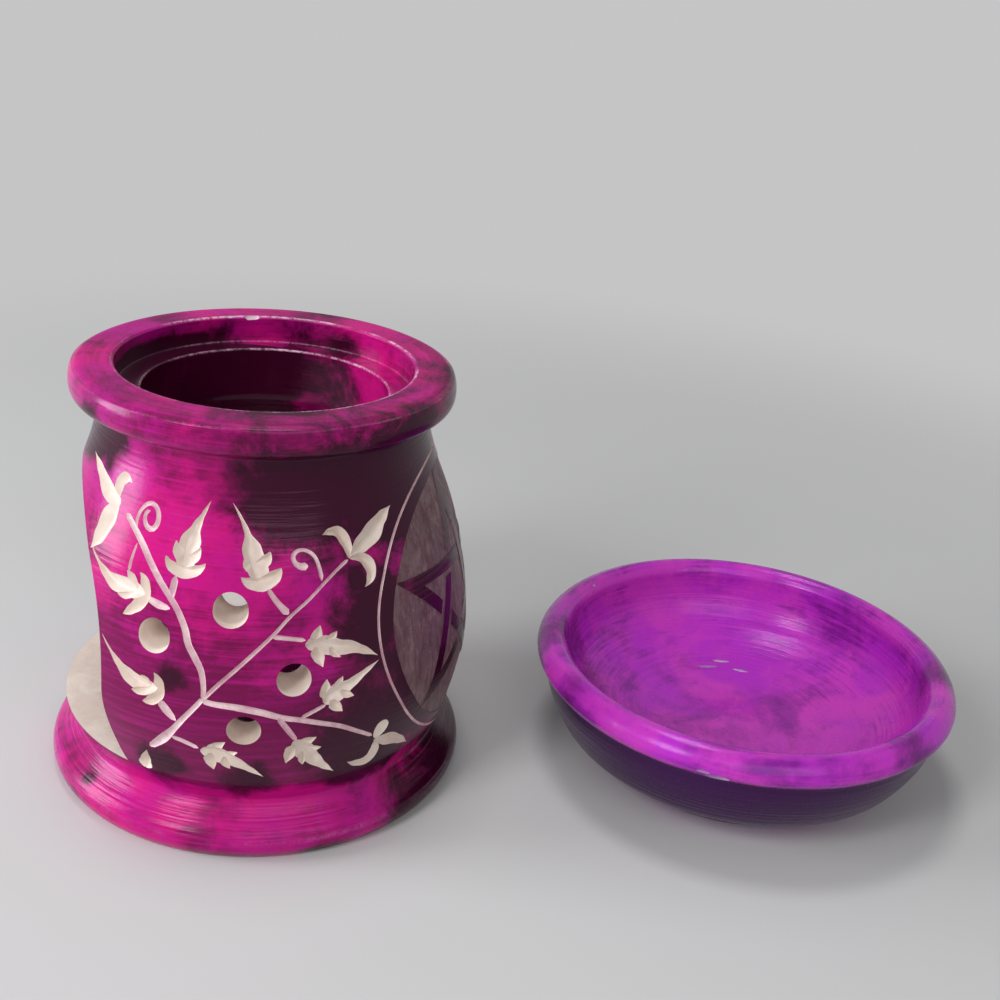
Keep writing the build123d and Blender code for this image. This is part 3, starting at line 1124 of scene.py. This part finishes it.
def scraped_material(name, pale, shade, dye, flecks):
    """Dyed face that has been scraped back in short strokes, so the stone shows through in a haze."""
    mat, shader, point = new_material(name)
    strokes = mapped(point, Rotation=(0.5, 0.2, 0.3), Scale=(900, 900, 190))
    scratch = noise_of(strokes, 1.0, 3.0, 0.7, 0.5)
    haze = noise_of(point, 130.0, 5.0, 0.65, 0.5)
    fine = noise_of(point, 1500.0, 3.0, 0.7)
    base = blend(between(haze, 0.35, 0.65), shade, pale)
    base = blend(between(scratch, 0.42, 0.62, 0.0, 0.55), base, dye)
    base = blend(between(fine, 0.64, 0.74, 0.0, 0.7), base, flecks)
    feed(shader, Base_Color=base, Normal=bumped(plus(scratch, fine), 0.5, 0.08),
         Roughness=between(scratch, 0.3, 0.7, 0.42, 0.62))
    return mat


def grained_material(name, stretch, grain, spread, tones, gloss, relief, creases=None, **finish):
    """Plain finish: one stretched grain gives its tones and gloss, and its relief unless it has creases."""
    mat, shader, point = new_material(name)
    mottle = noise_of(mapped(point, Scale=stretch), *grain)
    raised = noise_of(point, *creases) if creases else mottle
    feed(shader, Base_Color=blend(between(mottle, *spread), *tones),
         Roughness=between(mottle, 0.3, 0.7, *gloss), Normal=bumped(raised, *relief), **finish)
    return mat


def foil_material():
    return grained_material("pressed foil", (1, 1, 1), (700.0, 4.0, 0.7), (0.4, 0.7),
                            ((0.84, 0.85, 0.87), (0.88, 0.88, 0.9)), (0.2, 0.3), (0.12, 0.2),
                            (160.0, 3.0, 0.6, 1.2), Metallic=1.0)


def wax_material():
    return grained_material("poured wax", (1, 1, 1), (180.0, 4.0, 0.6), (0.4, 0.65),
                            ((0.86, 0.83, 0.76), (0.93, 0.91, 0.86)), (0.3, 0.45), (0.3, 0.2),
                            Subsurface_Weight=0.35, Subsurface_Scale=0.003)


def cotton_material():
    return grained_material("braided cotton", (6000, 6000, 900), (1.0, 3.0, 0.6), (0.35, 0.65),
                            ((0.72, 0.68, 0.6), (0.9, 0.88, 0.82)), (0.6, 0.85), (0.7, 0.05))


def tin_material():
    return grained_material("tinplate", (250, 4000, 250), (1.0, 3.0, 0.6), (0.35, 0.65),
                            ((0.56, 0.56, 0.57), (0.7, 0.7, 0.71)), (0.25, 0.42), (0.3, 0.05), Metallic=1.0)


# Colours of the stone and its dyes

magenta_hues = ((0.58, 0.005, 0.19), (0.46, 0.005, 0.24), (0.17, 0.002, 0.065), (0.036, 0.001, 0.014))
violet_hues = ((0.46, 0.022, 0.55), (0.62, 0.045, 0.52), (0.22, 0.011, 0.28), (0.035, 0.002, 0.055))
magenta_make = {"twist": 0.0, "rise": -1.0, "cloud": 38.0, "fine": 0.5, "brush": 0.32, "streaks": 0.3,
                "patches": (0.35, 1.0), "stain_and_shade_depth": 0.9, "gloss": 0.15, "marks": 0.7, "ridges": 1.3,
                # lighten: painted light on the flange and painted shade on the lower barrel, by height
                "upper": 0.4, "lighten": (0.06, -0.17, 0.04, -0.01), "shine": 0.3,
                "shine_tint": (1.0, 0.62, 0.84),
                # painted shade inside the mouth, seat and chamber, darkest on the left
                "painted_shade_side": (Vector((1.0, 0.0, 0.25)), 26.0, 83.4, 2.0)}
violet_make = {"twist": 40.0, "rise": 1.0, "cloud": 46.0, "fine": 0.4, "brush": 0.5, "streaks": 0.3,
               "patches": (0.4, 0.4), "stain_and_shade_depth": 0.55, "gloss": 0.16, "marks": 0.5, "ridges": 0.8,
               "upper": 1.0, "lighten": (0.03, 0.03, 0.03, 0.03), "shine": 0.34,
               "shine_tint": (0.95, 0.66, 1.0),
               # painted shade on the bowl's outer belly, all round below the lip
               "painted_shade_side": (Vector((-1.0, 0.65, 0.0)), -26.2, 22.4, 2.0)}
pale_stone = (0.85, 0.745, 0.66)
stone_shade = (0.74, 0.62, 0.535)
worn_pink = (0.72, 0.42, 0.56)
worn_lilac = (0.6, 0.36, 0.66)
dye_bleed = (0.62, 0.36, 0.44)
thin_cut_tones = ((0.84, 0.66, 0.66), (0.68, 0.44, 0.5), (0.5, 0.14, 0.28))
scraped_tones = ((0.24, 0.15, 0.16), (0.13, 0.07, 0.08), (0.1, 0.015, 0.035), (0.62, 0.48, 0.5))
chip_tones = ((0.82, 0.66, 0.7), (0.6, 0.38, 0.5), (0.45, 0.1, 0.28))
lilac_chip_tones = ((0.66, 0.5, 0.72), (0.42, 0.24, 0.5), (0.25, 0.04, 0.3))


# Dark spots, partly dark dye and partly painted shade: turn, height and reach on the barrel, turn and reach
# on the flange, or a spot and its reach
# On the barrel, the broad spots on the right side, away from the lamps, and those under the rim at the neck
# are painted shade laid over dark dye; the small ones and those round the back are dye alone.
barrel_stains_and_shade = ((14, 74, 20), (42, 72, 22), (70, 68, 20), (30, 22, 18), (56, 28, 24), (82, 42, 34),
                 (-2, 16, 8), (-26, 18, 7), (-50, 30, 4.5), (-22, 38, 4), (54, 46, 15), (-60, 76, 9),
                 (62, 52, 20), (48, 38, 16), (78, 28, 22), (82, 62, 22), (31, 50, 13), (98, 44, 24),
                 (118, 52, 17), (-125, 66, 16), (172, 30, 16), (150, 74, 18))
# On the flange, the spots on the right (turns 50 to 86) are painted shade; the other two are dye.
flange_stains_and_shade = ((50, 15), (66, 24), (86, 24), (165, 14), (-108, 9))
# By place: painted shade at the foot and flange on the front right, a small scratch mark at the front left,
# painted shadow under the rim on the right, and painted shade inside the throat and chamber.
other_stains_and_shade = (((12, -41, -3), 7), ((34, -12, 9), 15), ((36, -2, 9), 15), ((-32.7, -24.2, 7.5), 2.6),
                ((36, -4, 79), 12), ((26, -24, 78), 12), ((0, 26, 62), 14), ((-10, 24, 70), 14),
                ((-26, 6, 70), 14), ((-14, 20, 72), 15))
body_stains_and_shade = [(on_barrel(turn, height), reach) for turn, height, reach in barrel_stains_and_shade]
body_stains_and_shade += [(round_at(flange_r, turn, flange_bead_h), reach) for turn, reach in flange_stains_and_shade]
body_stains_and_shade += [(Vector(spot), reach) for spot, reach in other_stains_and_shade]
# Worn arrises: radius, height, how far the wear reaches and how strong it is
body_arrises = (
    (crease_r, crease_h, 0.3, 0.14), (seat_arris_r, body_h, 0.45, 0.9), (mouth_r, ledge_h, 0.45, 0.8),
    (seat_r, ledge_h, 0.35, 0.25), (flange_r, flange_bead_h + 1, 0.9, 0.08),
)
# Dark spots on the bowl, counted from its middle: the two on the inner left wall are painted shade; the
# others darken spots on the neck just under the lip.
bowl_stains_and_shade = ((Vector((-36, 10, 18)), 15), (Vector((-31, -10, 11)), 9), (Vector((41, -12, 23)), 9),
               (Vector((22, -36, 22)), 8), (Vector((-40, -14, 22)), 7))
bowl_arrises = (
    (bowl_crest_r, bowl_h, 0.8, 0.04), (bowl_foot_r, bowl_foot_break, 0.5, 0.5),
)


def stone_finishes():
    # The spot group draws dark dye spots and painted shade spots alike.
    groups = {"lines": turning_lines(), "dye": clouded_dye(), "stain": stain_and_shade_spot(), "arris": worn_arris(),
              "side": shaded_side()}
    magenta = dyed_material("magenta soapstone", groups, Vector(), magenta_hues, worn_pink, body_arrises,
                            body_stains_and_shade, magenta_make)
    violet = dyed_material("violet soapstone", groups, bowl_place, violet_hues, worn_lilac, bowl_arrises,
                           bowl_stains_and_shade, violet_make)
    bare = stone_material("bare soapstone", pale_stone, stone_shade, dye_bleed, 0.18, 0.62, 0.05)
    thin = stone_material("lightly cut soapstone", *thin_cut_tones, 0.4, 0.5, 0.04)
    scraped = scraped_material("scraped soapstone", *scraped_tones)
    chipped = stone_material("chipped soapstone", *chip_tones, 0.35, 0.6, 0.06)
    chipped_lilac = stone_material("chipped lilac soapstone", *lilac_chip_tones, 0.5, 0.6, 0.06)
    return [magenta, bare, thin, scraped, chipped], [violet, chipped_lilac]


# Camera

eye = Vector((0.0, -244.74, 165.04)) * mm
eye_yaw = 0.191
eye_pitch = 0.412
eye_roll = 0.096
view_px = 1332.7
frame_px = 1000


def look():
    ahead = Vector((sin(eye_yaw) * cos(eye_pitch), cos(eye_yaw) * cos(eye_pitch), -sin(eye_pitch)))
    level = ahead.cross(up_axis).normalized()
    up = level.cross(ahead)
    right = cos(eye_roll) * level + sin(eye_roll) * up
    top = cos(eye_roll) * up - sin(eye_roll) * level
    cam = bpy.data.cameras.new("camera")
    cam.sensor_width = 36
    cam.lens = view_px * cam.sensor_width / frame_px
    obj = bpy.data.objects.new("camera", cam)
    obj.matrix_world = Matrix.Translation(eye) @ Matrix((right, top, -ahead)).transposed().to_4x4()
    bpy.context.scene.collection.objects.link(obj)
    bpy.context.scene.camera = obj


# Floor and studio light

floor_pale = (0.62, 0.62, 0.62)
floor_shade = (0.6, 0.6, 0.6)
backdrop_pale = (0.56, 0.56, 0.56)
world_level = 0.2
near_floor = 0.13
far_floor = 0.42


def seen_directly(tree):
    """1 for rays from the camera, and for what gloss and clear things show of the surroundings."""
    path = node("ShaderNodeLightPath", None, tree).outputs
    direct = larger(path["Is Camera Ray"], path["Is Glossy Ray"])
    return larger(direct, path["Is Transmission Ray"])


def floor_material():
    """Pale card that takes the object's shadow and fades into the backdrop far from it."""
    mat, shader, point = new_material("pale floor", Vector((40, 0, 0)))
    tone = noise_of(point, 6.0, 3.0, 0.5)
    feed(shader, Base_Color=blend(between(tone, 0.3, 0.7), floor_shade, floor_pale),
         Roughness=0.9)
    fade = between(vector_maths("LENGTH", point), near_floor, far_floor)
    glow = node("ShaderNodeEmission", None, mat.node_tree, Color=backdrop_pale, Strength=1.0)
    share = times(fade, seen_directly(mat.node_tree))
    mix = node("ShaderNodeMixShader", None, i0=share, i1=shader.outputs[0], i2=glow.outputs[0])
    plug(mat.node_tree.nodes["Material Output"].inputs["Surface"], mix.outputs[0])
    return mat


def studio_floor():
    bm = bmesh.new()
    bmesh.ops.create_grid(bm, x_segments=2, y_segments=2, size=4000)
    floor = piece("floor", bm)
    floor.data.materials.append(floor_material())


def studio_world():
    world = bpy.data.worlds.new("studio")
    world.use_nodes = True
    tree = world.node_tree
    light = tree.nodes["Background"]
    feed(light, Color=(1, 1, 1), Strength=world_level)
    seen = node("ShaderNodeBackground", None, tree, Color=backdrop_pale, Strength=1.0)
    mix = node("ShaderNodeMixShader", None, i0=seen_directly(tree), i1=light.outputs[0],
               i2=seen.outputs[0])
    plug(tree.nodes["World Output"].inputs["Surface"], mix.outputs[0])
    bpy.context.scene.world = world


def soft_lamp(name, place, aim, size, power, tint=(1, 1, 1)):
    lamp = bpy.data.lights.new(name, "AREA")
    lamp.shape = "RECTANGLE"
    lamp.size, lamp.size_y = (side * mm for side in size)
    lamp.energy = power
    lamp.color = tint
    obj = bpy.data.objects.new(name, lamp)
    turn = (Vector(aim) - Vector(place)).to_track_quat("-Z", "Y").to_matrix().to_4x4()
    obj.matrix_world = Matrix.Translation(Vector(place) * mm) @ turn
    bpy.context.scene.collection.objects.link(obj)


def studio():
    studio_floor()
    studio_world()
    soft_lamp("window_left", (-720, 20, 230), (30, 0, 40), (290, 480), 4.5, (0.94, 0.96, 1.0))
    soft_lamp("front", (140, -620, 480), (60, 0, 20), (600, 420), 1.4)
    soft_lamp("front_left", (-430, -400, 480), (40, 0, 30), (200, 280), 2.1)
    soft_lamp("overhead", (-20, 50, 760), (60, 0, 20), (180, 180), 1.2)
    bpy.context.scene.view_settings.view_transform = "Standard"


# Making


look()
body_stone, bowl_stone = stone_finishes()
carved_body(body_stone)
turned_bowl(bowl_stone)
foil_cup(foil_material())
poured_wax(wax_material())
braided_wick(cotton_material())
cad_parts["wick_sustainer"].data.materials.clear()
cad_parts["wick_sustainer"].data.materials.append(tin_material())
studio()
